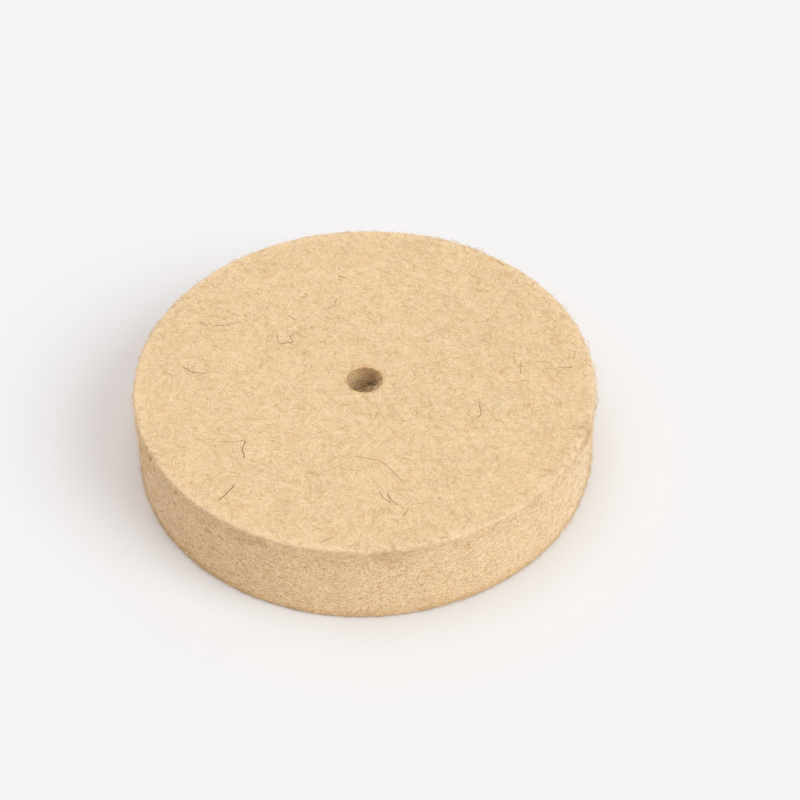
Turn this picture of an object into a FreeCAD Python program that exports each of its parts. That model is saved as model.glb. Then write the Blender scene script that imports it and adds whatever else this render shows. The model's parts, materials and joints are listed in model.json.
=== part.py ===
"""Felt polishing wheel: one block of pressed coarse wool felt with an arbor bore.

The wheel is a short cylinder that lies flat on its lower face.  The bore runs
along +Z, and the origin is the centre of the bore in the plane of the lower
face.  Lengths are in millimetres.
"""
import FreeCAD, Part
import os

import Sketcher

V = FreeCAD.Vector

WHEEL_NODE = "felt_wheel"
SHEET_NAME = "Dimensions"

# Name, value in mm, what the value is.
DIMENSIONS = (
    ("wheel_diameter", 125.0, "across the cut rim"),
    ("wheel_thickness", 25.0, "between the two pressed faces"),
    ("bore_diameter", 10.0, "straight hole for the spindle"),
    ("rim_edge_radius", 0.6, "softened edge between a face and the rim"),
    ("bore_edge_radius", 0.3, "softened edge at each mouth of the bore"),
)

# How far a measured volume may be from the worked-out one, as a fraction.
VOLUME_TOLERANCE = 0.002


def write_dimensions(doc):
    """Write the table of driving sizes and give each value a plain-word name."""
    sheet = doc.addObject("Spreadsheet::Sheet", SHEET_NAME)
    for row, (alias, value, meaning) in enumerate(DIMENSIONS, start=1):
        sheet.set("A%d" % row, alias)
        sheet.set("B%d" % row, "%g" % value)
        sheet.set("C%d" % row, meaning)
        sheet.setAlias("B%d" % row, alias)
    doc.recompute()
    return sheet


def dimension(alias):
    """The value of one driving size, read from the table above."""
    for name, value, _ in DIMENSIONS:
        if name == alias:
            return value
    raise KeyError(alias)


def origin_plane(body, role):
    """The plane of the body's own origin that has the given role."""
    for feature in body.Origin.OriginFeatures:
        if feature.Role == role:
            return feature
    raise LookupError(role)


def circle_sketch(body, name, diameter_alias):
    """A circle on the body's base plane, centred on the axis of the bore."""
    sketch = body.newObject("Sketcher::SketchObject", name)
    sketch.AttachmentSupport = [(origin_plane(body, "XY_Plane"), "")]
    sketch.MapMode = "FlatFace"
    radius = dimension(diameter_alias) / 2
    sketch.addGeometry(Part.Circle(V(0, 0, 0), V(0, 0, 1), radius), False)
    sketch.addConstraint(Sketcher.Constraint("Coincident", 0, 3, -1, 1))
    size = sketch.addConstraint(Sketcher.Constraint("Diameter", 0, 2 * radius))
    sketch.setExpression("Constraints[%d]" % size, "%s.%s" % (SHEET_NAME, diameter_alias))
    return sketch


def edges_with_radius(shape, radius):
    """Names of the whole-circle edges of a shape that have the given radius."""
    names = []
    for number, edge in enumerate(shape.Edges, start=1):
        if isinstance(edge.Curve, Part.Circle) and abs(edge.Curve.Radius - radius) < 1e-6:
            names.append("Edge%d" % number)
    return names


def press_disc(body):
    """The plain round blank, as thick as the pressed felt."""
    sketch = circle_sketch(body, "disc_outline", "wheel_diameter")
    disc = body.newObject("PartDesign::Pad", "pressed_disc")
    disc.Profile = sketch
    disc.setExpression("Length", "%s.wheel_thickness" % SHEET_NAME)
    return disc


def drill_bore(body, disc):
    """The straight hole for the spindle, cut through the whole thickness."""
    sketch = circle_sketch(body, "bore_outline", "bore_diameter")
    bore = body.newObject("PartDesign::Pocket", "spindle_bore")
    bore.Profile = sketch
    bore.Type = "Length"
    bore.Reversed = True
    bore.setExpression("Length", "%s.wheel_thickness" % SHEET_NAME)
    body.Document.recompute()
    cylinder = 3.141592653589793 * (dimension("bore_diameter") / 2) ** 2
    expected = disc.Shape.Volume - cylinder * dimension("wheel_thickness")
    check_volume("spindle_bore", bore.Shape.Volume, expected)
    return bore


def soften_edges(body, base, name, diameter_alias, radius_alias):
    """Round the two circular edges that have the given diameter."""
    fillet = body.newObject("PartDesign::Fillet", name)
    names = edges_with_radius(base.Shape, dimension(diameter_alias) / 2)
    if len(names) != 2:
        raise RuntimeError("%s found %d edges, not 2" % (name, len(names)))
    fillet.Base = (base, names)
    fillet.setExpression("Radius", "%s.%s" % (SHEET_NAME, radius_alias))
    body.Document.recompute()
    return fillet


def check_volume(name, measured, expected):
    """Stop if a feature removed or left a different amount than it should."""
    if abs(measured - expected) > VOLUME_TOLERANCE * expected:
        raise RuntimeError("%s: volume %.1f, expected %.1f" % (name, measured, expected))


def check_document(doc):
    """Stop if any object failed to compute or has an empty or invalid shape."""
    for item in doc.Objects:
        if "Invalid" in item.State or "Error" in item.State:
            raise RuntimeError("%s did not compute: %s" % (item.Name, item.State))
        if hasattr(item, "Shape") and item.isDerivedFrom("PartDesign::Feature"):
            if item.Shape.isNull() or not item.Shape.isValid():
                raise RuntimeError("%s has no valid shape" % item.Name)


def check_solid(name, shape):
    """Stop unless the shape is exactly one valid solid."""
    if shape.isNull() or not shape.isValid() or len(shape.Solids) != 1:
        raise RuntimeError("%s is not one valid solid" % name)


def build_wheel(doc):
    """The felt wheel as one body in its final place."""
    body = doc.addObject("PartDesign::Body", WHEEL_NODE)
    body.Label = WHEEL_NODE
    disc = press_disc(body)
    doc.recompute()
    bore = drill_bore(body, disc)
    rim = soften_edges(body, bore, "rim_edges", "wheel_diameter", "rim_edge_radius")
    soften_edges(body, rim, "bore_edges", "bore_diameter", "bore_edge_radius")
    body.Placement = FreeCAD.Placement(V(0, 0, 0), FreeCAD.Rotation())
    doc.recompute()
    return body


def main():
    """Build the wheel, check it and write its STEP file."""
    doc = FreeCAD.newDocument("felt_polishing_wheel")
    write_dimensions(doc)
    parts = [build_wheel(doc)]
    check_document(doc)
    os.makedirs("parts", exist_ok=True)
    for part in parts:
        check_solid(part.Label, part.Shape)
        part.Shape.exportStep("parts/%s.step" % part.Label)
        box = part.Shape.optimalBoundingBox()
        print("%s: %.3f x %.3f x %.3f mm, %.1f mm3" % (
            part.Label, box.XLength, box.YLength, box.ZLength, part.Shape.Volume))


main()
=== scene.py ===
import itertools
import json
import math

import bpy
import numpy as np
from mathutils import Matrix, Vector


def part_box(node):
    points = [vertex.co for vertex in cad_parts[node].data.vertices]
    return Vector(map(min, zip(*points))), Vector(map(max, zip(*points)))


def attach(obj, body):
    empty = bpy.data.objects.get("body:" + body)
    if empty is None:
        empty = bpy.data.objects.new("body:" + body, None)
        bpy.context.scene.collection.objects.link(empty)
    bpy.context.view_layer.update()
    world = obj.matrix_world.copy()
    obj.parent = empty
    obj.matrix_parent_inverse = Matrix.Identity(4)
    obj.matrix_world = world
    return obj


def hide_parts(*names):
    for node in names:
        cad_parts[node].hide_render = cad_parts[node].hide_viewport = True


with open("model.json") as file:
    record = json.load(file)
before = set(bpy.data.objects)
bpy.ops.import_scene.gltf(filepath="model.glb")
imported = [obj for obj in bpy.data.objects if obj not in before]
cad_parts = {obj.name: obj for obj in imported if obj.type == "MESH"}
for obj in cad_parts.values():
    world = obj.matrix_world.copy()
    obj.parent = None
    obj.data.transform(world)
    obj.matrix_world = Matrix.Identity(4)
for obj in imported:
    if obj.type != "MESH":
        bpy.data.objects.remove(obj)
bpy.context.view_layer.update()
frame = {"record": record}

# Everything below is worked out in millimetres and turned into metres when a mesh is made.
MM = 0.001
NODE = "felt_wheel"
HIGH = np.array(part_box(NODE)[1]) / MM
NAP = 0.5           # how far the loose surface of the upper face stands above its nominal height
RIM_R = HIGH[0]
TOP_Z = HIGH[2] + NAP
BORE_R = next(m["dims"]["r_mm"] for m in frame["record"]["mounts"] if m["name"] == "arbor_bore")

RIM_EDGE = 0.6      # how round the cut edge between the upper face and the rim looks
FOOT_EDGE = 0.3     # the same at the lower face
BORE_EDGE = 0.22    # the same at the mouths of the bore
UNDER_Z = 0.25      # the felt's underside, above the fibres that it rests on
FLOOR_GAP = 0.01    # the least gap between any fibre and the floor

# Steps of the felt's rings: each pair is (radius beyond which it holds, steps).
RING_STEPS = ((31.0, 560), (15.5, 280), (0.0, 140))

# Linear colours of the wool, mostly on the faces.
CREAM = (0.90, 0.725, 0.475)
PALE = (0.76, 0.53, 0.268)
HONEY = (0.675, 0.43, 0.185)
TAN = (0.52, 0.30, 0.12)
RUST = (0.93, 0.63, 0.32)
ASH = (0.60, 0.48, 0.30)

# Mostly on the cut rim.
CUT = (0.86, 0.565, 0.25)
BLUSH = (0.98, 0.785, 0.54)
ROSE = (0.915, 0.69, 0.42)
ORANGE = (0.86, 0.53, 0.21)

# In the bore.
AMBER = (1.0, 0.735, 0.385)
# Painted shade for the deep +x wall of the bore.
BORE_SHADE = (0.19, 0.085, 0.03)

# Mostly of loose fibres and single hairs.
WHITE = (0.99, 0.86, 0.64)
GOLD = (1.0, 0.77, 0.41)
BROWN = (0.21, 0.088, 0.03)
DARK = (0.07, 0.026, 0.01)

# The wools that the fibres are made of: two tones, about how many mm wide the patches of
# each tone are, and how much sheen the wool has.
WOOLS = {
    "white": (WHITE, CREAM, 2.0, 0.1),
    "cream": (CREAM, PALE, 2.0, 0.1),
    "honey": (PALE, HONEY, 2.0, 0.1),
    "tan": (HONEY, TAN, 2.0, 0.1),
    "blush": (BLUSH, ROSE, 2.0, 0.4),
    "gold": (GOLD, PALE, 2.0, 0.1),
    "edge": (WHITE, BLUSH, 2.0, 0.5),
    "bore": (AMBER, RUST, 2.0, 0.6),
    "brown": (TAN, BROWN, 0.8, 0.0),
    "dark": (BROWN, DARK, 1.0, 0.0),
}

# How wide fibres are, as (least, most) in mm.
FINE = (0.05, 0.085)
USUAL = (0.07, 0.11)
STOUT = (0.09, 0.14)
DOWN = (0.045, 0.075)
WALL = (0.06, 0.12)
SPECK = (0.08, 0.17)

# Dark hairs that stand out on the upper face, as points (x, y) in mm from the bore's centre.
DARK_HAIRS = (
    ((-38.2, -43.6), (-36.2, -40.8), (-34.3, -38.0)),
    ((-31.7, -22.1), (-32.2, -23.9), (-32.8, -25.5), (-32.2, -27.0), (-31.8, -28.8)),
    ((3, -41.5), (4, -44), (6, -46)),
    ((5, -42.5), (6, -45), (8, -46.5)),
    ((9, -50.5), (10.5, -48)),
    ((-12.5, -59), (-8.5, -57)),
    ((-50, 7.5), (-47, 4.5), (-42.5, 4)),
    ((-45.5, 24.5), (-43, 22.5)),
    ((-41.5, 23), (-38, 23), (-34.5, 24.5)),
    ((-24, 20.5), (-23.5, 15), (-19, 15.5), (-20.5, 18), (-17.5, 20)),
    ((-11, 28.5), (-8, 30), (-7, 33.5)),
    ((-7.5, 26.5), (-6, 23)),
    ((-7, 43), (-4, 41.5)),
    ((-57, 20.5), (-55, 18.5)),
    ((-28.5, 5), (-27.5, 8.5)),
    ((25.5, 51), (27.5, 51)),
    ((39, 47), (41, 45.5)),
    ((53, 3), (55, 2.2), (57, 2.8)),
)
BROWN_HAIRS = (
    ((-39.5, -22.2), (-36, -22.3), (-31.8, -22.1)),
    ((-3, -29), (4, -31), (10, -39.5)),
    ((43, 5), (42.5, 0.5)),
    ((30.5, -9), (31, -15), (29, -17)),
    ((-16.5, 36), (-15.4, 34.6), (-16.6, 33.4), (-17.6, 34.6)),
    ((-21, 27), (-19, 24.5)),
    ((-51.5, 35.5), (-50, 33.5)),
)

# Where loose fibres gather in tufts round the upper edge, in degrees.
TUFT_TURNS = (-20, -119, -86, -155, 60)


# ---------------------------------------------------------------- shapes

def unit(vectors):
    """The same directions with length 1."""
    return vectors / np.maximum(np.linalg.norm(vectors, axis=-1, keepdims=True), 1e-9)


def lattice_noise(points, cell, seed):
    """Smooth noise from -1 to 1 at points (..., 3), with lumps about as wide as cell."""
    size = 32       # cells after which the noise repeats
    table = np.random.default_rng(seed).uniform(-1, 1, (size, size, size))
    grid = np.asarray(points) / cell
    base = np.floor(grid).astype(int)
    part = grid - base
    part = part * part * (3 - 2 * part)
    total = np.zeros(grid.shape[:-1])
    for corner in itertools.product((0, 1), repeat=3):
        weight = np.prod(np.where(corner, part, 1 - part), axis=-1)
        i, j, k = np.moveaxis((base + corner) % size, -1, 0)
        total += weight * table[i, j, k]
    return total


def relief(points):
    """How far the felt stands proud of its nominal surface, in mm."""
    broad = 0.12 * lattice_noise(points, 11.0, 1)
    lumps = 0.022 * lattice_noise(points, 3.1, 2)
    pits = 0.025 * lattice_noise(points, 1.5, 3)
    return broad + lumps + pits


def section_arc(centre, radius, start, stop, count=5):
    """Points on a rounded corner of the section, from one angle to another in degrees."""
    angles = np.radians(np.linspace(start, stop, count))
    return [(centre[0] + radius * math.cos(a), centre[1] + radius * math.sin(a)) for a in angles]


def run(start, stop, step=0.75):
    """Evenly spaced points strictly between two points of the section."""
    start, stop = np.array(start), np.array(stop)
    count = max(2, int(round(np.linalg.norm(stop - start) / step)))
    return [tuple(start + (stop - start) * i / count) for i in range(1, count)]


def section():
    """Points (radius, height) round the felt's section, starting on the underside at the bore."""
    corners = (
        section_arc((RIM_R - FOOT_EDGE, UNDER_Z + FOOT_EDGE), FOOT_EDGE, -90, 0),
        section_arc((RIM_R - RIM_EDGE, TOP_Z - RIM_EDGE), RIM_EDGE, 0, 90),
        section_arc((BORE_R + BORE_EDGE, TOP_Z - BORE_EDGE), BORE_EDGE, 90, 180, 4),
        section_arc((BORE_R + BORE_EDGE, UNDER_Z + BORE_EDGE), BORE_EDGE, 180, 270, 4),
    )
    points = []
    for number, corner in enumerate(corners):
        before = corners[number - 1][-1]
        points += run(before, corner[0]) + corner
    return np.array(points)


def segments_at(radius):
    """How many steps a ring of the felt's mesh has: fewer towards the bore."""
    return next(steps for beyond, steps in RING_STEPS if radius > beyond)


def ring_faces(first, count, second, other):
    """Faces between two neighbouring rings, where one may have twice the steps of the other."""
    i = np.arange(max(count, other))
    if count == other:
        a, b = first + i, first + (i + 1) % count
        c, d = second + (i + 1) % other, second + i
        return np.stack([a, b, c], 1), np.stack([a, c, d], 1)
    small = np.arange(min(count, other))
    if other > count:
        a, b = first + small, first + (small + 1) % count
        lo, mid, hi = (second + (2 * small + k) % other for k in range(3))
        faces = [(a, mid, lo), (a, b, mid), (b, hi, mid)]
    else:
        a, b = second + small, second + (small + 1) % other
        lo, mid, hi = (first + (2 * small + k) % count for k in range(3))
        faces = [(a, lo, mid), (a, mid, b), (b, mid, hi)]
    return tuple(np.stack(face, 1) for face in faces)


def make_piece(name, vertices, faces, material):
    """A smooth-shaded mesh piece from positions in mm, riding on the wheel's only body."""
    mesh = bpy.data.meshes.new(name)
    sizes = np.concatenate([np.full(len(group), group.shape[1]) for group in faces])
    corners = np.concatenate([group.ravel() for group in faces]).astype(np.int32)
    starts = np.concatenate([[0], np.cumsum(sizes)[:-1]]).astype(np.int32)
    mesh.vertices.add(len(vertices))
    mesh.vertices.foreach_set("co", (vertices * MM).astype(np.float32).ravel())
    mesh.loops.add(len(corners))
    mesh.loops.foreach_set("vertex_index", corners)
    mesh.polygons.add(len(sizes))
    mesh.polygons.foreach_set("loop_start", starts)
    mesh.update(calc_edges=True)
    mesh.shade_smooth()
    mesh.materials.append(material)
    piece = bpy.data.objects.new(name, mesh)
    bpy.context.scene.collection.objects.link(piece)
    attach(piece, "root")
    return piece


def turned(turn, radius, height):
    """A ring of points (..., 3) at turns in radians, a distance from the axis and a height."""
    return np.stack([radius * np.cos(turn), radius * np.sin(turn), np.full(len(turn), height)], 1)


def felt_body(material):
    """The block of felt itself: a turned ring whose whole surface is slightly uneven."""
    points = section()
    ahead = np.roll(points, -1, axis=0) - np.roll(points, 1, axis=0)
    outward = unit(np.stack([ahead[:, 1], -ahead[:, 0]], 1))
    vertices, counts = [], []
    for (radius, height), (out_r, out_z) in zip(points, outward):
        count = segments_at(radius)
        turn = np.arange(count) * 2 * math.pi / count
        place = turned(turn, radius, height)
        vertices.append(place + turned(turn, out_r, out_z) * relief(place)[:, None])
        counts.append(count)
    firsts = np.concatenate([[0], np.cumsum(counts)[:-1]])
    faces = []
    for k, count in enumerate(counts):
        n = (k + 1) % len(counts)
        faces += ring_faces(firsts[k], count, firsts[n], counts[n])
    vertices = np.concatenate(vertices)
    vertices[:, 2] = np.maximum(vertices[:, 2], 2 * FLOOR_GAP)
    piece = make_piece("felt_body", vertices, faces, material)
    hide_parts(NODE)
    return piece


# ---------------------------------------------------------------- fibres

def on_circle(turn, reach):
    """Flat points (..., 2) at turns in radians and distances from the wheel's axis."""
    return np.column_stack([np.cos(turn), np.sin(turn)]) * np.reshape(reach, (-1, 1))


def in_space(flat):
    """Flat points (..., 2) as points (..., 3) at height 0."""
    return np.concatenate([flat, np.zeros_like(flat[..., :1])], -1)


def keep_off_floor(paths, radii):
    """Raise the points of paths (fibres, points, 3) that would touch the floor."""
    paths[..., 2] = np.maximum(paths[..., 2], radii[:, None] + FLOOR_GAP)


def tubes(name, paths, radii, aside, material):
    """One piece made of closed thin tubes.

    paths is (fibres, points, 3), radii is (fibres,), and aside is (fibres, points, 3):
    a direction that never points along the fibre.
    """
    sides = 3
    count, points, _ = paths.shape
    along = np.gradient(paths, axis=1)
    side = unit(np.cross(along, aside))
    upward = unit(np.cross(side, along))
    taper = np.ones(points)
    taper[[0, -1]] = 0.35
    taper[[1, -2]] = 0.8
    reach = (radii[:, None] * taper)[:, :, None]
    ring = []
    for k in range(sides):
        angle = 2 * math.pi * k / sides
        ring.append(paths + reach * (math.cos(angle) * side + math.sin(angle) * upward))
    vertices = np.stack(ring, 2).reshape(-1, 3)
    number = np.arange(count * points * sides).reshape(count, points, sides)
    beside = np.roll(number, -1, axis=2)
    walls = np.stack([number[:, :-1], number[:, 1:], beside[:, 1:], beside[:, :-1]], -1)
    faces = [walls.reshape(-1, 4), number[:, 0], number[:, -1, ::-1]]
    return make_piece(name, vertices, faces, material)


def wander(rng, starts, headings, lengths, points, curl):
    """Flat curved paths (fibres, points, 2): each keeps turning, with a slight crimp."""
    count = len(starts)
    t = np.linspace(0, 1, points)[None]
    bend = rng.normal(0, curl, (count, 1)) * lengths[:, None]
    waves = rng.uniform(0.6, 1.9, (count, 1)) * t + rng.random((count, 1))
    crimp = rng.uniform(0.1, 0.45, (count, 1)) * np.sin(2 * math.pi * waves)
    turn = headings[:, None] + bend * (t - 0.5) + crimp
    step = lengths[:, None] / (points - 1)
    moves = np.stack([np.cos(turn), np.sin(turn)], -1) * step[..., None]
    return starts[:, None] + np.cumsum(moves, axis=1) - moves[:, :1] * points / 2


def weave(rng, count, points, lift, radii):
    """Heights (fibres, points) above the felt: a fibre rises, dips in and ends inside the felt."""
    t = np.linspace(0, 1, points)[None]
    top = rng.uniform(0.25, 1.0, (count, 1)) * lift
    waves = np.sin(2 * math.pi * (rng.uniform(0.7, 2.2, (count, 1)) * t + rng.random((count, 1))))
    arch = np.sin(math.pi * t) ** 0.5
    return top * arch * (0.55 + 0.45 * waves) - 1.2 * radii[:, None] * (1 - arch)


def over_face(flat):
    """Nominal points and normals where a flat pattern is laid on the upper face.

    Past the rim's edge the pattern bends down over the rim, and past the bore's edge it
    bends down into the bore.
    """
    reach = np.hypot(flat[..., 0], flat[..., 1])
    outer, inner = RIM_R - RIM_EDGE, BORE_R + BORE_EDGE
    over = np.maximum(reach - outer, 0)
    into = np.maximum(inner - reach, 0)
    angle = np.minimum(over / RIM_EDGE, math.pi / 2) + np.minimum(into / BORE_EDGE, math.pi / 2)
    edge = np.where(into > 0, BORE_EDGE, RIM_EDGE)
    way = np.where(into > 0, -1, 1)
    down = np.maximum(np.maximum(over, into) - edge * math.pi / 2, 0)
    radius = np.clip(reach, inner, outer) + way * edge * np.sin(angle)
    height = TOP_Z - edge * (1 - np.cos(angle)) - down
    heading = flat / np.maximum(reach, 1e-6)[..., None]
    place = np.concatenate([heading * radius[..., None], height[..., None]], -1)
    sideways = heading * (way * np.sin(angle))[..., None]
    normal = np.concatenate([sideways, np.cos(angle)[..., None]], -1)
    return place, normal


def under_face(flat):
    """The same on the lower face, where the pattern bends up over the edges."""
    place, normal = over_face(flat)
    place[..., 2] = TOP_Z - place[..., 2] + UNDER_Z
    normal[..., 2] *= -1
    return place, normal


def round_rim(flat):
    """Nominal points and normals where (distance round, height) is laid on the rim."""
    turn = flat[..., 0] / RIM_R
    normal = np.stack([np.cos(turn), np.sin(turn), np.zeros_like(turn)], -1)
    place = normal * RIM_R
    place[..., 2] = flat[..., 1]
    return place, normal


def face_starts(rng, count, margin=0.0):
    """Points on a face, more of them where the wool lies thicker."""
    found = np.zeros((0, 2))
    while len(found) < count:
        tries = rng.uniform(-RIM_R, RIM_R, (4 * count, 2))
        reach = np.hypot(tries[:, 0], tries[:, 1])
        inside = (reach < RIM_R - margin) & (reach > BORE_R + 0.6)
        spots = in_space(tries)
        thick = 0.75 + 0.3 * lattice_noise(spots, 6.0, 21) + 0.15 * lattice_noise(spots, 2.2, 22)
        found = np.concatenate([found, tries[inside & (rng.random(len(tries)) < thick)]])
    return found[:count]


def swirl(rng, starts):
    """Headings in radians: neighbours partly agree, as in carded wool."""
    agreeing = 0.45
    shared = math.pi * 1.5 * lattice_noise(in_space(starts), 13.0, 31)
    own = rng.uniform(-math.pi, math.pi, len(starts))
    agree = rng.random(len(starts)) < agreeing
    return np.where(agree, shared + rng.normal(0, 0.35, len(starts)), own)


def laid(name, rng, flat, onto, material, width, lift):
    """A piece of fibres that lie on a surface of the wheel along flat paths."""
    radii = rng.uniform(*width, len(flat)) / 2
    place, normal = onto(flat)
    height = weave(rng, len(flat), flat.shape[1], lift, radii) + relief(place)
    paths = place + normal * height[..., None]
    keep_off_floor(paths, radii)
    return tubes(name, paths, radii, normal, material)


def face_fibres(name, seed, count, material, onto, long, width, lift=0.07, points=8):
    """Matted fibres, mostly about long mm long, that lie in all directions on a face."""
    rng = np.random.default_rng(seed)
    starts = face_starts(rng, count)
    lengths = long * rng.lognormal(0, 0.4, count).clip(0.4, 2.2)
    flat = wander(rng, starts, swirl(rng, starts), lengths, points, 0.17)
    return laid(name, rng, flat, onto, material, width, lift)


def rim_fibres(name, seed, count, material, long, width):
    """Short fibres on the cut rim: half of them level, because they lie in the felt's layers."""
    level_share, lift = 0.5, 0.06
    rng = np.random.default_rng(seed)
    around = rng.uniform(-math.pi, math.pi, count) * RIM_R
    height = rng.uniform(UNDER_Z + RIM_EDGE, TOP_Z - RIM_EDGE, count)
    level = rng.normal(0, 0.3, count)
    free = rng.uniform(-math.pi / 2, math.pi / 2, count)
    headings = np.where(rng.random(count) < level_share, level, free)
    lengths = long * rng.lognormal(0, 0.45, count).clip(0.35, 2.6)
    flat = wander(rng, np.column_stack([around, height]), headings, lengths, 8, 0.14)
    inside = (flat[..., 1].min(1) > UNDER_Z + 0.5) & (flat[..., 1].max(1) < TOP_Z - 0.4)
    return laid(name, rng, flat[inside], round_rim, material, width, lift)


def bore_fibres(name, seed, count, material):
    """Matted fibres on the upper part of the bore's wall."""
    deepest = 4.6
    rng = np.random.default_rng(seed)
    turn = rng.uniform(-math.pi, math.pi, count)
    reach = BORE_R + BORE_EDGE - deepest * rng.uniform(0, 1, count) ** 1.4
    lengths = rng.uniform(0.8, 2.6, count)
    headings = rng.uniform(-math.pi, math.pi, count)
    flat = wander(rng, on_circle(turn, reach), headings, lengths, 6, 0.3)
    # No path crosses the axis, where the pattern would jump to the opposite wall.
    flat *= np.maximum(1, 0.5 / np.hypot(flat[..., 0], flat[..., 1]).min(1))[:, None, None]
    return laid(name, rng, flat, over_face, material, WALL, 0.3)


def fuzz(name, rng, place, normal, material, length, spread):
    """Short loose fibre ends that stand off a surface and curl over."""
    count = len(place)
    aside = unit(np.cross(normal, rng.normal(size=(count, 3))))
    other = np.cross(normal, aside)
    lean = rng.uniform(*spread, (count, 1))
    heading = unit(normal + lean * aside)
    lengths = rng.uniform(*length, (count, 1, 1)) * rng.uniform(0.5, 1, (count, 1, 1))
    t = np.linspace(0, 1, 4)[None, :, None]
    sideways = rng.normal(0, 0.45, (count, 1, 1)) * other[:, None]
    over = rng.uniform(-0.5, 0.2, (count, 1, 1)) * normal[:, None]
    start = place + normal * (relief(place)[:, None] - 0.08)
    paths = start[:, None] + lengths * (t * heading[:, None] + t * t * (sideways + over))
    radii = rng.uniform(*DOWN, count) / 2
    keep_off_floor(paths, radii)
    across = np.broadcast_to(other[:, None], paths.shape)
    return tubes(name, paths, radii, across + 0.01, material)


def rim_fuzz(name, seed, count, material):
    """Short hairs that stand off the cut rim."""
    rng = np.random.default_rng(seed)
    around = rng.uniform(-math.pi, math.pi, count) * RIM_R
    height = rng.uniform(UNDER_Z + 0.2, TOP_Z - RIM_EDGE, count)
    place, normal = round_rim(np.column_stack([around, height]))
    return fuzz(name, rng, place, normal, material, (0.4, 1.9), (0.1, 2.0))


def edge_fuzz(name, seed, count, material, onto, centre, band, length):
    """Short hairs in a narrow ring of a face, such as along its outer edge."""
    rng = np.random.default_rng(seed)
    turn = rng.uniform(-math.pi, math.pi, count)
    place, normal = onto(on_circle(turn, rng.normal(centre, band, count)))
    return fuzz(name, rng, place, normal, material, length, (0.1, 1.8))


def face_fuzz(name, seed, count, material, onto):
    """Loose ends that barely rise from a face."""
    rng = np.random.default_rng(seed)
    place, normal = onto(face_starts(rng, count, 0.5))
    return fuzz(name, rng, place, normal, material, (0.4, 1.2), (1.2, 3.5))


def smooth_line(points, count, passes=2):
    """A line through listed points with rounded corners, as count points."""
    points = np.array(points, float)
    chord = np.concatenate([[0], np.cumsum(np.linalg.norm(np.diff(points, axis=0), axis=1))])
    t = np.linspace(0, chord[-1], count)
    line = np.column_stack([np.interp(t, chord, points[:, k]) for k in range(2)])
    for _ in range(passes):
        line[1:-1] = (line[:-2] + 2 * line[1:-1] + line[2:]) / 4
    return line


def placed_hairs(name, seed, lines, material, width, lift):
    """Dark hairs at listed places on the upper face."""
    points = 20
    rng = np.random.default_rng(seed)
    flat = np.stack([smooth_line(line, points, 1) for line in lines])
    spots = in_space(flat)
    kinks = []
    for k in range(2):
        broad = lattice_noise(spots, 1.4, seed + k)
        small = lattice_noise(spots, 0.6, seed + 5 + k)
        kinks.append(broad + 0.5 * small)
    flat = flat + 0.12 * np.dstack(kinks)
    radii = rng.uniform(*width, len(flat)) / 2
    place, normal = over_face(flat)
    t = np.linspace(0, 1, points)
    waves = 0.05 * np.sin(2 * math.pi * (2.3 * t[None] + rng.random((len(flat), 1))))
    height = lift * np.sin(math.pi * t)[None] ** 0.4 + waves + relief(place) - 0.02
    return tubes(name, place + normal * height[..., None], radii, normal, material)


def specks(name, seed, count, material, onto, starts):
    """Very short dark fibre ends scattered over a surface."""
    rng = np.random.default_rng(seed)
    lengths = rng.uniform(0.25, 1.3, count) * rng.uniform(0.4, 1, count)
    flat = wander(rng, starts(rng, count), rng.normal(0, 1.2, count), lengths, 4, 0.4)
    return laid(name, rng, flat, onto, material, SPECK, 0.13)


def rim_starts(rng, count):
    """Points spread evenly over the rim, as (distance round, height)."""
    around = rng.uniform(-math.pi, math.pi, count) * RIM_R
    return np.column_stack([around, rng.uniform(UNDER_Z + 1.2, TOP_Z - 1.2, count)])


def strays(seed, count, material):
    """Longer loose fibres that arch off the upper edge, some of them gathered in tufts."""
    tuft_share, points = 0.30, 12
    rng = np.random.default_rng(seed)
    spread = rng.uniform(-math.pi, math.pi, count)
    gathered = np.radians(rng.choice(TUFT_TURNS, count)) + rng.normal(0, 0.035, count)
    in_tuft = rng.random(count) < tuft_share
    turn = np.where(in_tuft, gathered, spread)
    starts = on_circle(turn, rng.normal(RIM_R + 0.8, 1.0, count))
    outward = rng.normal(0, 1.0, count)
    along_edge = rng.normal(math.pi / 2, 0.6, count)
    headings = turn + np.where(in_tuft, outward, along_edge)
    flat = wander(rng, starts, headings, rng.uniform(3, 8, count), points, 0.3)
    place, normal = over_face(flat)
    t = np.linspace(0, 1, points)[None]
    arch = rng.uniform(0.3, 1.4, (count, 1)) * np.sin(math.pi * t) ** 1.5
    paths = place + normal * (arch + relief(place) - 0.05)[..., None]
    return tubes("stray_fibres", paths, rng.uniform(0.08, 0.14, count) / 2, normal, material)


def mouth_strands(seed, count, material):
    """Pale strands stretched across the near right part of the bore's mouth."""
    points = 12
    rng = np.random.default_rng(seed)
    lines = []
    for middle in rng.uniform(-95, 15, count):
        half = rng.uniform(15, 48)
        angles = np.radians([middle - half, middle + rng.normal(0, 12), middle + half])
        lines.append(on_circle(angles, BORE_R * np.array([1.12, rng.uniform(0.45, 0.9), 1.12])))
    flat = np.stack([smooth_line(line, points) for line in lines])
    sag = np.sin(math.pi * np.linspace(0, 1, points))[None]
    paths = np.dstack([flat, TOP_Z + rng.uniform(-1.4, 0.1, (count, 1)) * sag])
    upright = np.broadcast_to((0.0, 0.0, 1.0), paths.shape)
    radii = rng.uniform(0.055, 0.08, count) / 2
    return tubes("mouth_strands", paths, radii, upright, material)


# ---------------------------------------------------------------- materials

def add(tree, kind, inputs=None, **settings):
    """A new node with its settings, and each input set to a value or joined to a socket."""
    node = tree.nodes.new(kind)
    for key, value in settings.items():
        setattr(node, key, value)
    for key, value in (inputs or {}).items():
        if isinstance(value, bpy.types.NodeSocket):
            tree.links.new(value, node.inputs[key])
        else:
            node.inputs[key].default_value = value
    return node


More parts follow.
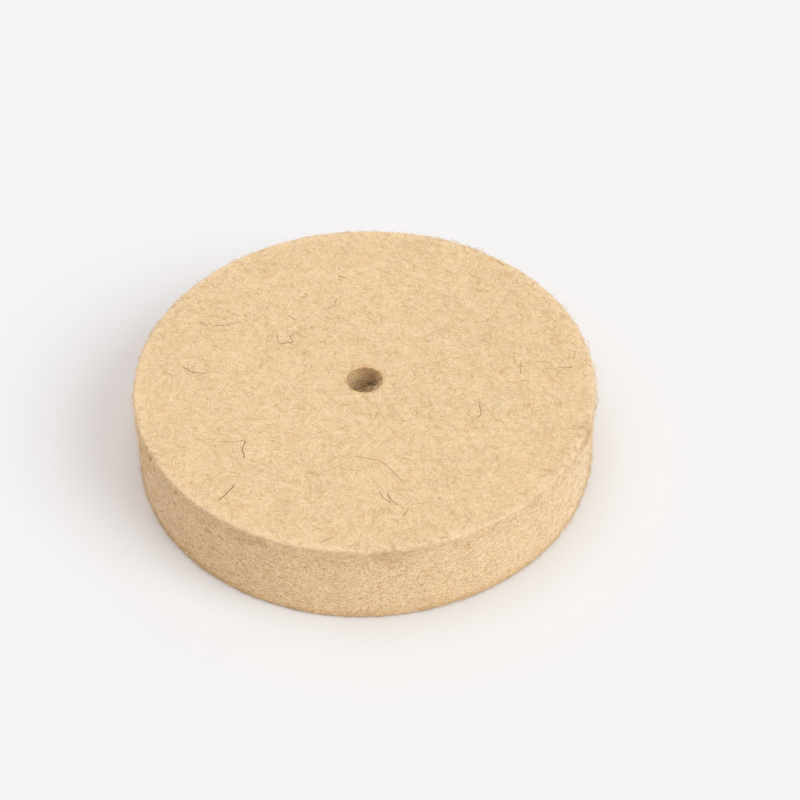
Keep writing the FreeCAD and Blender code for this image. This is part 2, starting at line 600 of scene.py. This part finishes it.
def rgba(colour):
    """A colour with full opacity."""
    return (*colour, 1.0)


def math_node(tree, operation, first, second=0.0):
    """The result of one sum on one or two values or sockets."""
    return add(tree, "ShaderNodeMath", {0: first, 1: second}, operation=operation).outputs[0]


def scaled(tree, value, amount):
    """A value made weaker or stronger."""
    return math_node(tree, "MULTIPLY", value, amount)


def vector_node(tree, operation, first, second):
    """The result of one sum on two vectors or sockets."""
    inputs = {0: first, 1: second}
    return add(tree, "ShaderNodeVectorMath", inputs, operation=operation).outputs[0]


def coordinate(tree, place, axis):
    """A place's X, Y or Z."""
    return add(tree, "ShaderNodeSeparateXYZ", {0: place}).outputs[axis]


def rise(tree, value, start, stop):
    """0 where a value is start mm and 1 where it is stop mm, with a smooth change between."""
    limits = {"Value": value, "From Min": start * MM, "From Max": stop * MM}
    return add(tree, "ShaderNodeMapRange", limits, interpolation_type="SMOOTHSTEP").outputs[0]


def mix(tree, factor, first, second):
    """A colour between two colours or sockets."""
    first = first if isinstance(first, bpy.types.NodeSocket) else rgba(first)
    second = second if isinstance(second, bpy.types.NodeSocket) else rgba(second)
    return add(tree, "ShaderNodeMix", {0: factor, 6: first, 7: second}, data_type="RGBA").outputs[2]


def layered(tree, colour, *layers):
    """A colour with others laid over it in turn: each layer is (mask, strength, colour)."""
    for mask, strength, over in layers:
        colour = mix(tree, scaled(tree, mask, strength), colour, over)
    return colour


def ramp(tree, value, *stops):
    """Grey values along a ramp: stops are (position, grey)."""
    node = add(tree, "ShaderNodeValToRGB", {0: value})
    elements = node.color_ramp.elements
    while len(elements) < len(stops):
        elements.new(0.5)
    for element, (position, grey) in zip(elements, stops):
        element.position = position
        element.color = (grey, grey, grey, 1)
    return node.outputs[0]


def noise(tree, place, size, detail=2.0, rough=0.5):
    """Noise with lumps about size mm wide, as a value and a colour."""
    inputs = {"Vector": place, "Scale": 1 / (size * MM), "Detail": detail, "Roughness": rough}
    return add(tree, "ShaderNodeTexNoise", inputs).outputs


def stretched_noise(tree, mapping, detail):
    """Noise whose lumps have the size and the direction of a mapping."""
    mapped = add(tree, "ShaderNodeMapping", mapping, vector_type="TEXTURE").outputs[0]
    inputs = {"Vector": mapped, "Scale": 1.0, "Detail": detail}
    return add(tree, "ShaderNodeTexNoise", inputs).outputs[0]


def shifted(tree, place, amount, size, seed):
    """The same place pushed about by broad noise, so that straight patterns wander."""
    moved = vector_node(tree, "ADD", place, (seed, -seed, 0.3 * seed))
    push = noise(tree, moved, size, 1.0)[1]
    centred = vector_node(tree, "SUBTRACT", push, (0.5, 0.5, 0.5))
    inputs = {0: centred, "Scale": amount * MM}
    offset = add(tree, "ShaderNodeVectorMath", inputs, operation="SCALE").outputs[0]
    return vector_node(tree, "ADD", place, offset)


def strands(tree, place, turn, tilt, length, width, *stops):
    """Short lines that run mostly one way through the solid: 1 on a line, 0 between lines."""
    mapping = {
        "Vector": place,
        "Location": (0.013 * turn, 0.007 * turn, 0.003 * turn),
        "Rotation": (0, math.radians(tilt), math.radians(turn)),
        "Scale": (length * MM, width * MM, width * MM),
    }
    return ramp(tree, stretched_noise(tree, mapping, 0.0), *stops)


def flattened(tree, place, wide, high, *stops):
    """Level streaks, wide mm across and high mm thick, that lie in the felt's layers."""
    mapping = {"Vector": place, "Scale": (wide * MM, wide * MM, high * MM)}
    return ramp(tree, stretched_noise(tree, mapping, 1.5), *stops)


def mat_of_strands(tree, place, turns, length, width, *stops, tilts=(0, 0, 0, 0)):
    """Strands, sized in mm, that run at several turns and tilts in degrees over one another."""
    bent = shifted(tree, place, 0.5 * length, 1.3 * length, 0.01 * turns[0])
    total = None
    for turn, tilt in zip(turns, tilts):
        lines = strands(tree, bent, turn, tilt, length, width, *stops)
        total = lines if total is None else math_node(tree, "MAXIMUM", total, lines)
    return total


def from_axis(tree, place, start, stop):
    """0 at one distance from the wheel's axis and 1 at another, both in mm."""
    flat = vector_node(tree, "MULTIPLY", place, (1, 1, 0))
    reach = add(tree, "ShaderNodeVectorMath", {0: flat}, operation="LENGTH").outputs["Value"]
    return rise(tree, reach, start, stop)


def between_heights(tree, place, start, stop):
    """0 at one height and 1 at another, both in mm."""
    return rise(tree, coordinate(tree, place, "Z"), start, stop)


def towards(tree, place, start, stop):
    """0 to 1 along the x axis, between two places given as parts of the wheel's radius."""
    return rise(tree, coordinate(tree, place, "X"), start * RIM_R, stop * RIM_R)


def near_rim(tree, place):
    """1 on the cut rim, fading out over its rounded upper edge, and 0 on the faces."""
    outer = from_axis(tree, place, RIM_R - 0.7, RIM_R - 0.2)
    below_edge = between_heights(tree, place, TOP_Z - 0.1, TOP_Z - RIM_EDGE)
    return math_node(tree, "MULTIPLY", outer, below_edge)


def edge_halo(tree, place):
    """1 at the outer edge of a face, fading to 0 a few millimetres inside it."""
    return from_axis(tree, place, RIM_R - 3.0, RIM_R - 0.8)


def near_bore(tree, place):
    """1 on the wall of the bore and 0 outside it."""
    return from_axis(tree, place, BORE_R + 0.5, BORE_R + 0.15)


def near_floor(tree, place):
    """1 at the lower edge, fading to 0 a few millimetres above it."""
    return between_heights(tree, place, 7.5, 0.5)


def dark_grain(tree, grain):
    """1 in the dark parts of the fine grain."""
    return ramp(tree, grain, (0.38, 1), (0.50, 0))


def pale_grain(tree, grain):
    """1 in the pale parts of the fine grain."""
    return ramp(tree, grain, (0.50, 0), (0.62, 1))


def face_colour(tree, place, light, shaded_gaps, grain):
    """The pressed faces: golden wool with pale strands, painted shade between them, soft blotches and
    a painted pale halo at the outer edge.
    """
    blotch = ramp(tree, noise(tree, place, 4.0, 3.0, 0.6)[0], (0.3, 0.2), (0.7, 0.8))
    broad = ramp(tree, noise(tree, place, 14.0, 2.0)[0], (0.35, 0), (0.65, 1))
    ashen = ramp(tree, noise(tree, place, 3.2, 3.0, 0.6)[0], (0.56, 0), (0.70, 1))
    rusty = ramp(tree, noise(tree, place, 5.5, 3.0, 0.6)[0], (0.56, 0), (0.70, 1))
    return layered(
        tree, mix(tree, blotch, HONEY, PALE),
        (broad, 0.20, RUST),
        (ashen, 0.28, ASH),
        (rusty, 0.30, RUST),
        (dark_grain(tree, grain), 0.27, TAN),
        (pale_grain(tree, grain), 0.27, CREAM),
        # painted shade: dark lines between the strands
        (shaded_gaps, 0.12, TAN),
        (light, 0.52, CREAM),
        # painted highlight: a pale halo along the outer edge, standing in for the sheen of the edge
        # fuzz
        (edge_halo(tree, place), 0.25, BLUSH))


def rim_colour(tree, place, light, grain):
    """The cut rim: level streaks, dark cut ends, an orange foot, painted shade on the -x side and a
    painted pink-white highlight towards +x.
    """
    moved = shifted(tree, place, 1.0, 2.0, 0.7)
    streak = flattened(tree, moved, 1.6, 0.36, (0.58, 0), (0.68, 1))
    ends = flattened(tree, moved, 0.8, 0.36, (0.64, 0), (0.72, 1))
    pale_streak = flattened(tree, moved, 1.3, 0.34, (0.40, 1), (0.46, 0))
    upright_band = flattened(tree, place, 7.0, 200.0, (0.45, 0), (0.65, 1))
    return layered(
        tree, CUT,
        (near_floor(tree, place), 0.45, ORANGE),
        (upright_band, 0.20, TAN),
        # painted shade: the rim darkened towards TAN on its -x side, which faces away from the key
        # light
        (towards(tree, place, -0.15, -0.75), 0.68, TAN),
        # painted highlight: the rim made whiter on its +x side, where the key light falls on it
        (towards(tree, place, 0.75, 1.0), 0.65, WHITE),
        (dark_grain(tree, grain), 0.75, TAN),
        (pale_grain(tree, grain), 0.55, BLUSH),
        (streak, 0.40, TAN),
        (pale_streak, 0.30, BLUSH),
        (ends, 0.60, BROWN),
        # painted highlight: a pink glow over the rim towards +x, the side the key light comes from
        (towards(tree, place, 0.35, 0.95), 0.30, ROSE),
        (light, 0.65, BLUSH))


def bore_colour(tree, place, grain):
    """The bore's wall: golden with dark grain, and painted shade in dark brown on the +x side away
    from the mouths.
    """
    middle = TOP_Z / 2
    above_middle = math_node(tree, "SUBTRACT", coordinate(tree, place, "Z"), middle * MM)
    from_middle = math_node(tree, "ABSOLUTE", above_middle)
    deep = rise(tree, from_middle, middle - 1.5, middle - 5.5)
    side = towards(tree, place, -0.01, 0.05)
    # painted shade: deep down on the +x side, where the light does not reach, the wall turns dark
    # brown
    brown = math_node(tree, "MULTIPLY", deep, scaled(tree, side, 0.9))
    return layered(
        tree, mix(tree, brown, AMBER, BORE_SHADE),
        (dark_grain(tree, grain), 0.18, TAN))


def new_material(name, values):
    """A material, its tree and its shader, with plain values set on the shader's inputs."""
    material = bpy.data.materials.new(name)
    material.use_nodes = True
    shader = material.node_tree.nodes["Principled BSDF"]
    for key, value in values.items():
        shader.inputs[key].default_value = value
    return material, material.node_tree, shader


def felt_material():
    """Dense undyed coarse wool, with its own look on the faces, on the cut rim and in the bore."""
    material, tree, shader = new_material("coarse_wool_felt", {
        "Roughness": 0.92,
        "Specular IOR Level": 0.15,
        "Sheen Weight": 0.25,
        "Sheen Roughness": 0.5,
        "Sheen Tint": rgba((1.0, 0.90, 0.78)),
    })
    place = add(tree, "ShaderNodeTexCoord").outputs["Object"]

    long_strands = mat_of_strands(tree, place, (8, 52, 97, 139), 9.0, 0.28, (0.61, 0), (0.69, 1))
    short_strands = mat_of_strands(tree, place, (33, 80, 124, 170), 3.5, 0.25, (0.63, 0), (0.71, 1))
    # dark lines between the strands: painted shade, also pressed in by the bump below
    shaded_gaps = mat_of_strands(tree, place, (25, 71, 118, 163), 2.2, 0.36, (0.65, 0), (0.73, 1))
    light = math_node(tree, "MAXIMUM", long_strands, scaled(tree, short_strands, 0.7))
    grain = noise(tree, place, 0.32, 1.0, 0.5)[0]
    face = face_colour(tree, place, light, shaded_gaps, grain)
    cut_strands = mat_of_strands(
        tree, place, (12, 58, 101, 149), 2.2, 0.34, (0.62, 0), (0.70, 1), tilts=(25, -50, 60, -20))
    rim = rim_colour(tree, place, cut_strands, grain)
    outside = mix(tree, near_rim(tree, place), face, rim)
    colour = mix(tree, near_bore(tree, place), outside, bore_colour(tree, place, grain))
    tree.links.new(colour, shader.inputs["Base Color"])

    height = math_node(tree, "SUBTRACT", light, scaled(tree, shaded_gaps, 0.7))
    bump = add(tree, "ShaderNodeBump", {"Height": height, "Strength": 0.5, "Distance": 0.06 * MM})
    tree.links.new(bump.outputs[0], shader.inputs["Normal"])
    return material


def wool_material(name, first, second, size, sheen):
    """Single wool fibres whose colour drifts between two tones, in patches about size mm wide."""
    material, tree, shader = new_material(name, {
        "Roughness": 0.8,
        "Specular IOR Level": 0.1,
        "Sheen Weight": sheen,
        "Sheen Roughness": 0.4,
    })
    place = add(tree, "ShaderNodeTexCoord").outputs["Object"]
    drift = ramp(tree, noise(tree, place, size, 1.0)[0], (0.35, 0), (0.65, 1))
    tree.links.new(mix(tree, drift, first, second), shader.inputs["Base Color"])
    return material


# ---------------------------------------------------------------- studio

def floor_material():
    """Smooth white studio paper."""
    paper = {
        "Base Color": rgba((0.805, 0.795, 0.785)),
        "Roughness": 0.9,
        "Specular IOR Level": 0.1,
    }
    return new_material("studio_floor", paper)[0]


def make_floor():
    """A wide pale floor at the wheel's lower face, swept up at its far edge into a low wall."""
    reach, bend, wall_top = 5.0, 1.2, 2.2
    bend_steps, count = 12, 96
    angles = [math.radians(90 * k / bend_steps) for k in range(bend_steps + 1)]
    profile = [(0.5 * reach, 0.0)]
    profile += [(reach + bend * math.sin(a), bend * (1 - math.cos(a))) for a in angles]
    profile.append((reach + bend, wall_top))
    turns = [2 * math.pi * k / count for k in range(count)]
    vertices = [(r * math.cos(t), r * math.sin(t), z) for r, z in profile for t in turns]
    faces = [tuple(range(count))]
    for ring in range(len(profile) - 1):
        first, second = ring * count, (ring + 1) * count
        for k in range(count):
            after = (k + 1) % count
            faces.append((first + k, second + k, second + after, first + after))
    mesh = bpy.data.meshes.new("floor")
    mesh.from_pydata(vertices, [], faces)
    mesh.shade_smooth()
    floor = bpy.data.objects.new("floor", mesh)
    mesh.materials.append(floor_material())
    bpy.context.scene.collection.objects.link(floor)


def soft_light(name, turn, elevation, spread, strength, colour):
    """A distant light that fills spread degrees of the sky; all angles are in degrees."""
    data = bpy.data.lights.new(name, "SUN")
    data.energy = strength
    data.angle = math.radians(spread)
    data.color = colour
    lamp = bpy.data.objects.new(name, data)
    lamp.rotation_euler = (0, math.radians(90 - elevation), math.radians(turn))
    bpy.context.scene.collection.objects.link(lamp)


def make_lights():
    """Faintly pink surroundings, a large cool light on the right in front, and one overhead."""
    world = bpy.data.worlds.new("studio")
    bpy.context.scene.world = world
    world.use_nodes = True
    background = world.node_tree.nodes["Background"]
    background.inputs["Color"].default_value = rgba((1.0, 0.86, 0.86))
    background.inputs["Strength"].default_value = 0.61
    soft_light("key", turn=-30, elevation=40, spread=40, strength=1.60, colour=(0.83, 0.95, 1.0))
    soft_light("overhead", turn=180, elevation=80, spread=60, strength=0.97, colour=(0.83, 0.97, 1.0))


def make_camera():
    """The camera: about 45 degrees above the floor, aimed a little beside the wheel's centre."""
    elevation, roll = math.radians(44.84), math.radians(-0.65)
    distance, lens, sensor = 0.620, 101.2, 36.0
    middle = Vector((0, 0, HIGH[2] * MM / 2))
    place = middle + distance * Vector((0, -math.cos(elevation), math.sin(elevation)))
    aim = middle + Vector((0.0097, 0.0049, 0))
    data = bpy.data.cameras.new("camera")
    data.sensor_width = sensor
    data.lens = lens
    camera = bpy.data.objects.new("camera", data)
    look = (aim - place).to_track_quat("-Z", "Y").to_matrix().to_4x4()
    camera.matrix_world = Matrix.Translation(place) @ look @ Matrix.Rotation(roll, 4, "Z")
    bpy.context.scene.collection.objects.link(camera)
    bpy.context.scene.camera = camera


# ---------------------------------------------------------------- the wheel

def lay_fibres(wool):
    """The matted fibres of both faces and of the cut rim.

    The numbers are a seed, a count and a length in mm, and on some pieces how high the fibres
    rise in mm and how many points each has.
    """
    face_fibres("face_fibres_white", 102, 2300, wool["white"], over_face, 6.0, FINE, 0.12)
    face_fibres("face_fibres_cream", 101, 4400, wool["cream"], over_face, 5.5, USUAL)
    face_fibres("face_fibres_honey", 103, 3700, wool["honey"], over_face, 3.6, FINE)
    face_fibres("face_fibres_tan", 104, 350, wool["tan"], over_face, 2.5, FINE, 0.06)
    face_fibres("face_fibres_long", 105, 480, wool["white"], over_face, 12.0, USUAL, 0.18, 16)
    face_fibres("under_fibres_pale", 111, 2400, wool["cream"], under_face, 5.5, STOUT)
    face_fibres("under_fibres_honey", 112, 2200, wool["honey"], under_face, 5.0, USUAL)
    rim_fibres("rim_fibres_pale", 121, 4400, wool["blush"], 3.8, FINE)
    rim_fibres("rim_fibres_honey", 122, 2600, wool["honey"], 2.5, FINE)
    rim_fibres("rim_fibres_tan", 123, 1500, wool["tan"], 1.3, USUAL)


def lay_fuzz(wool):
    """The short loose ends on the rim, along every edge and on the upper face."""
    rim_fuzz("rim_fuzz", 131, 8000, wool["blush"])
    # Name, seed, count, wool, face, radius and spread of the ring, and length of the hairs.
    rings = (
        ("upper_edge_fuzz", 132, 9000, "edge", over_face, RIM_R + 0.1, 0.6, (0.3, 1.15)),
        ("upper_edge_down", 146, 3500, "blush", over_face, RIM_R + 2.5, 1.5, (0.5, 2.2)),
        ("lower_edge_fuzz", 133, 8500, "gold", under_face, RIM_R + 0.5, 0.6, (0.5, 1.7)),
        ("upper_mouth_fuzz", 134, 420, "cream", over_face, BORE_R, 0.4, (0.4, 1.5)),
        ("lower_mouth_fuzz", 135, 120, "cream", under_face, BORE_R + 0.2, 0.5, (0.4, 1.2)),
    )
    for name, seed, count, tone, onto, centre, band, length in rings:
        edge_fuzz(name, seed, count, wool[tone], onto, centre, band, length)
    face_fuzz("face_fuzz", 136, 3000, wool["white"], over_face)


def lay_hairs(wool):
    """What stands out by itself: the bore's fibres, stray ends, dark hairs and dark specks.

    The numbers are a seed and a count, and for the hairs a width and a height in mm.
    """
    bore_fibres("bore_fibres_gold", 137, 800, wool["bore"])
    bore_fibres("bore_fibres_tan", 149, 70, wool["tan"])
    mouth_strands(138, 16, wool["gold"])
    strays(139, 340, wool["cream"])
    placed_hairs("dark_hairs", 141, DARK_HAIRS[:2], wool["dark"], (0.12, 0.14), 0.18)
    placed_hairs("fine_dark_hairs", 147, DARK_HAIRS[2:], wool["dark"], (0.07, 0.10), 0.14)
    placed_hairs("brown_hairs", 142, BROWN_HAIRS, wool["brown"], (0.08, 0.12), 0.12)
    specks("face_specks", 143, 340, wool["brown"], over_face, face_starts)
    specks("under_specks", 144, 160, wool["brown"], under_face, face_starts)
    specks("rim_specks", 145, 560, wool["brown"], round_rim, rim_starts)
    specks("rim_specks_dark", 148, 220, wool["dark"], round_rim, rim_starts)


def make_wheel():
    """All visible pieces of the felt."""
    wool = {name: wool_material(name + "_wool", *looks) for name, looks in WOOLS.items()}
    felt_body(felt_material())
    lay_fibres(wool)
    lay_fuzz(wool)
    lay_hairs(wool)


bpy.context.scene.view_settings.view_transform = "Standard"
make_camera()
make_floor()
make_lights()
make_wheel()
